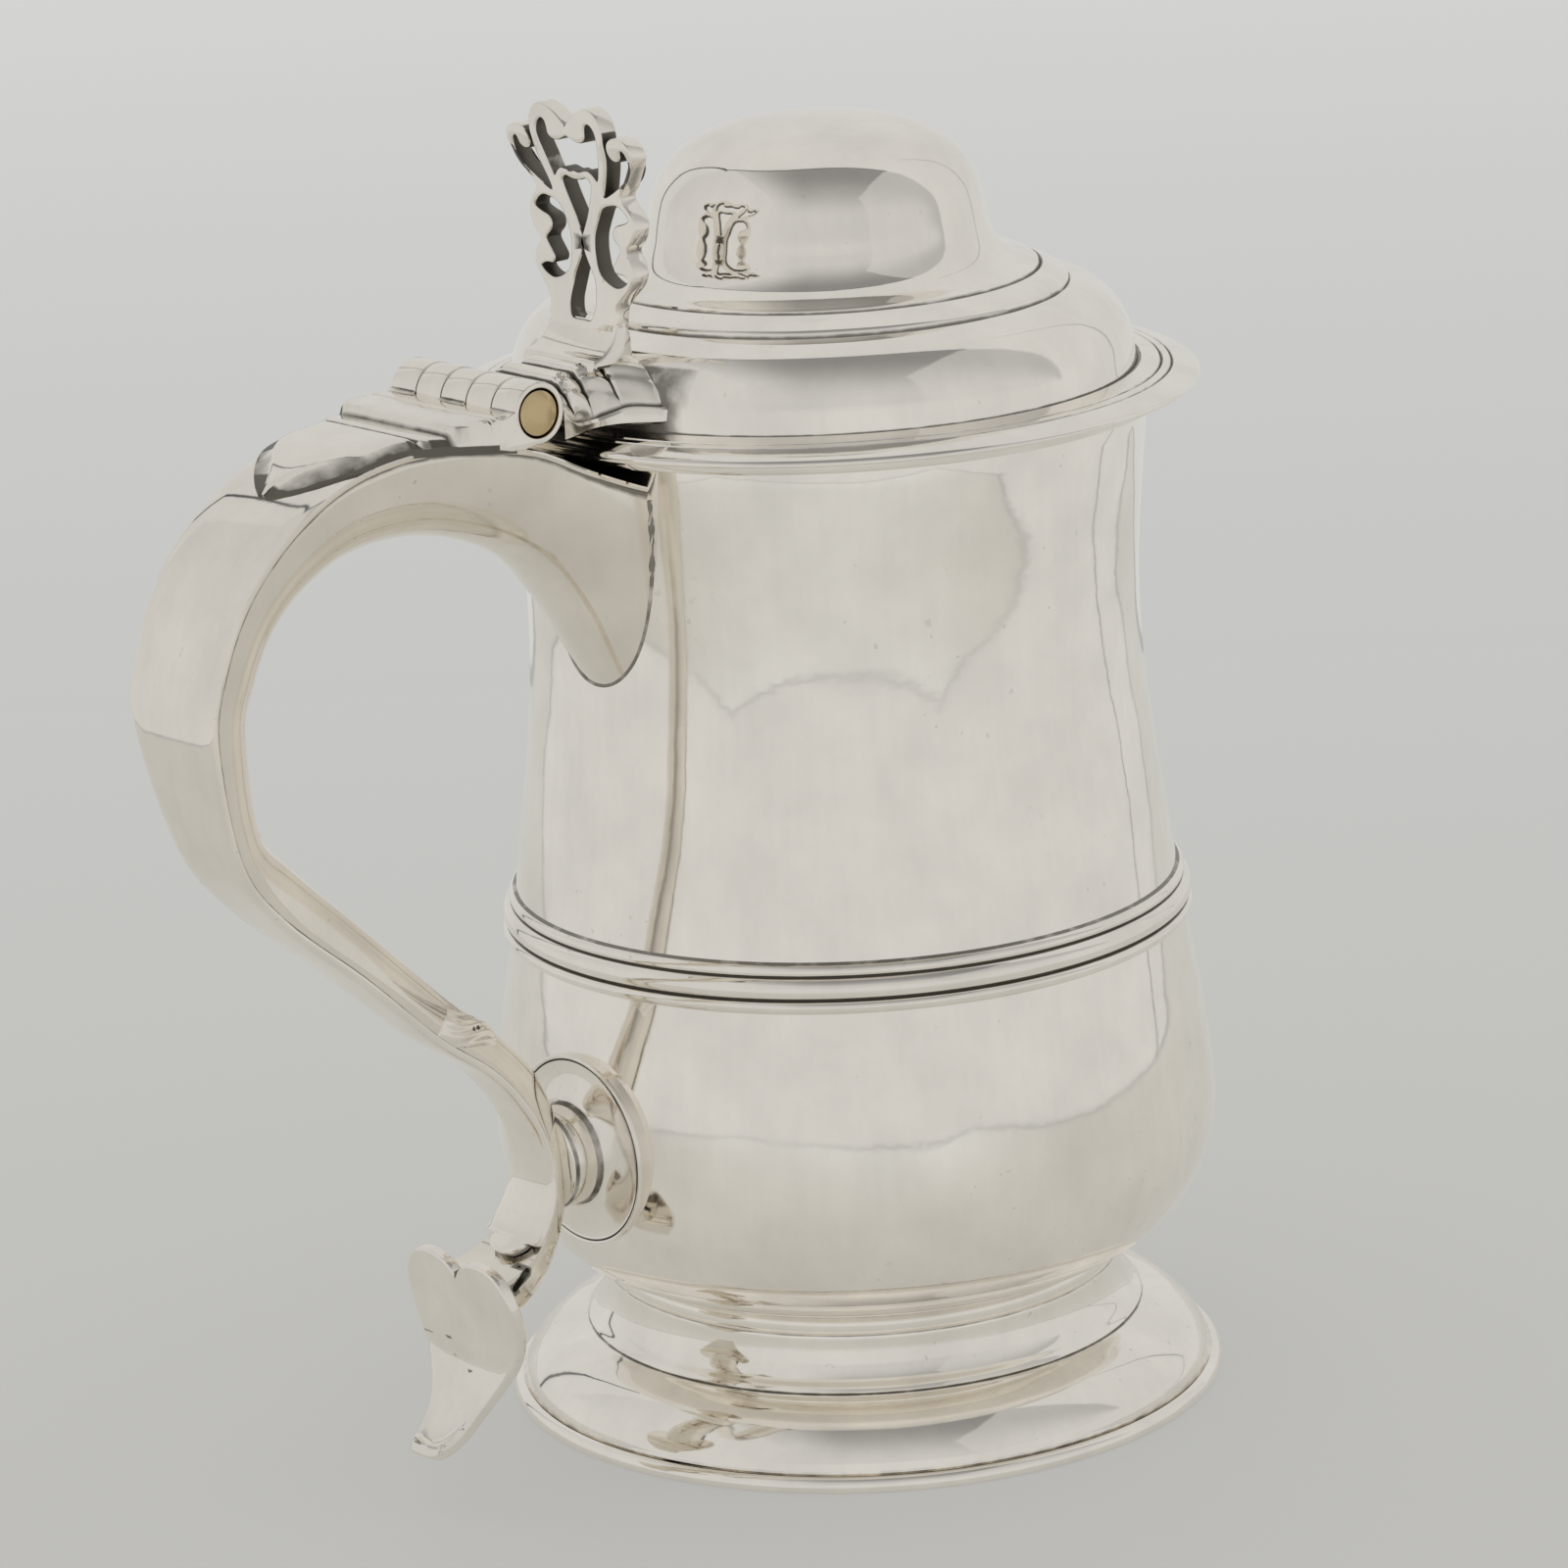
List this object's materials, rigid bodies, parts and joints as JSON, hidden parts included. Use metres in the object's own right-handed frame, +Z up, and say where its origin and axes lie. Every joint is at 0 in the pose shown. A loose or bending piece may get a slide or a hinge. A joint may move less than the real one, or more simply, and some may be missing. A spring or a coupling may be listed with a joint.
{
  "type": "tankard",
  "caption": "Lidded silver tankard: bellied body on a spreading foot, hollow scroll handle with a heart-shaped end, and a domed lid on a knuckle hinge under a pierced thumbpiece.",
  "frame": {"origin": "centre of the bounding box on the plane the foot stands on", "axes": "+Z up, the handle points towards -X, the lid's hinge axis runs along Y"},
  "size_m": [0.1843, 0.116, 0.2117],
  "materials": {
    "silver": "polished silver with fine wear",
    "tarnished_silver": "polished silver with dark tarnish in the recesses",
    "gilt_pin": "drawn brass wire, filed flush"
  },
  "bodies": {
    "vessel": {"body": "silver", "foot": "silver", "foot_rim": "silver", "mid_band": "silver", "handle_strap": "silver", "handle_stem": "silver", "handle_trough": "silver", "handle_boss": "silver", "handle_collar": "silver", "handle_heart": "silver", "handle_leaf": "tarnished_silver", "handle_knuckle_1": "silver", "handle_knuckle_3": "silver", "handle_knuckle_5": "silver", "hinge_pin": "gilt_pin"},
    "lid": {"lid_cover": "silver", "lid_rim": "silver", "lid_bezel": "silver", "lid_leaf": "tarnished_silver", "lid_knuckle_2": "silver", "lid_knuckle_4": "silver", "thumbpiece": "silver"}
  },
  "joints": [
    {"name": "lid_hinge", "type": "hinge", "parent": "vessel", "child": "lid", "pos_m": [-0.0334, 0, 0.1704], "axis": [0, -1, 0], "range_deg": [0, 105]}
  ]
}
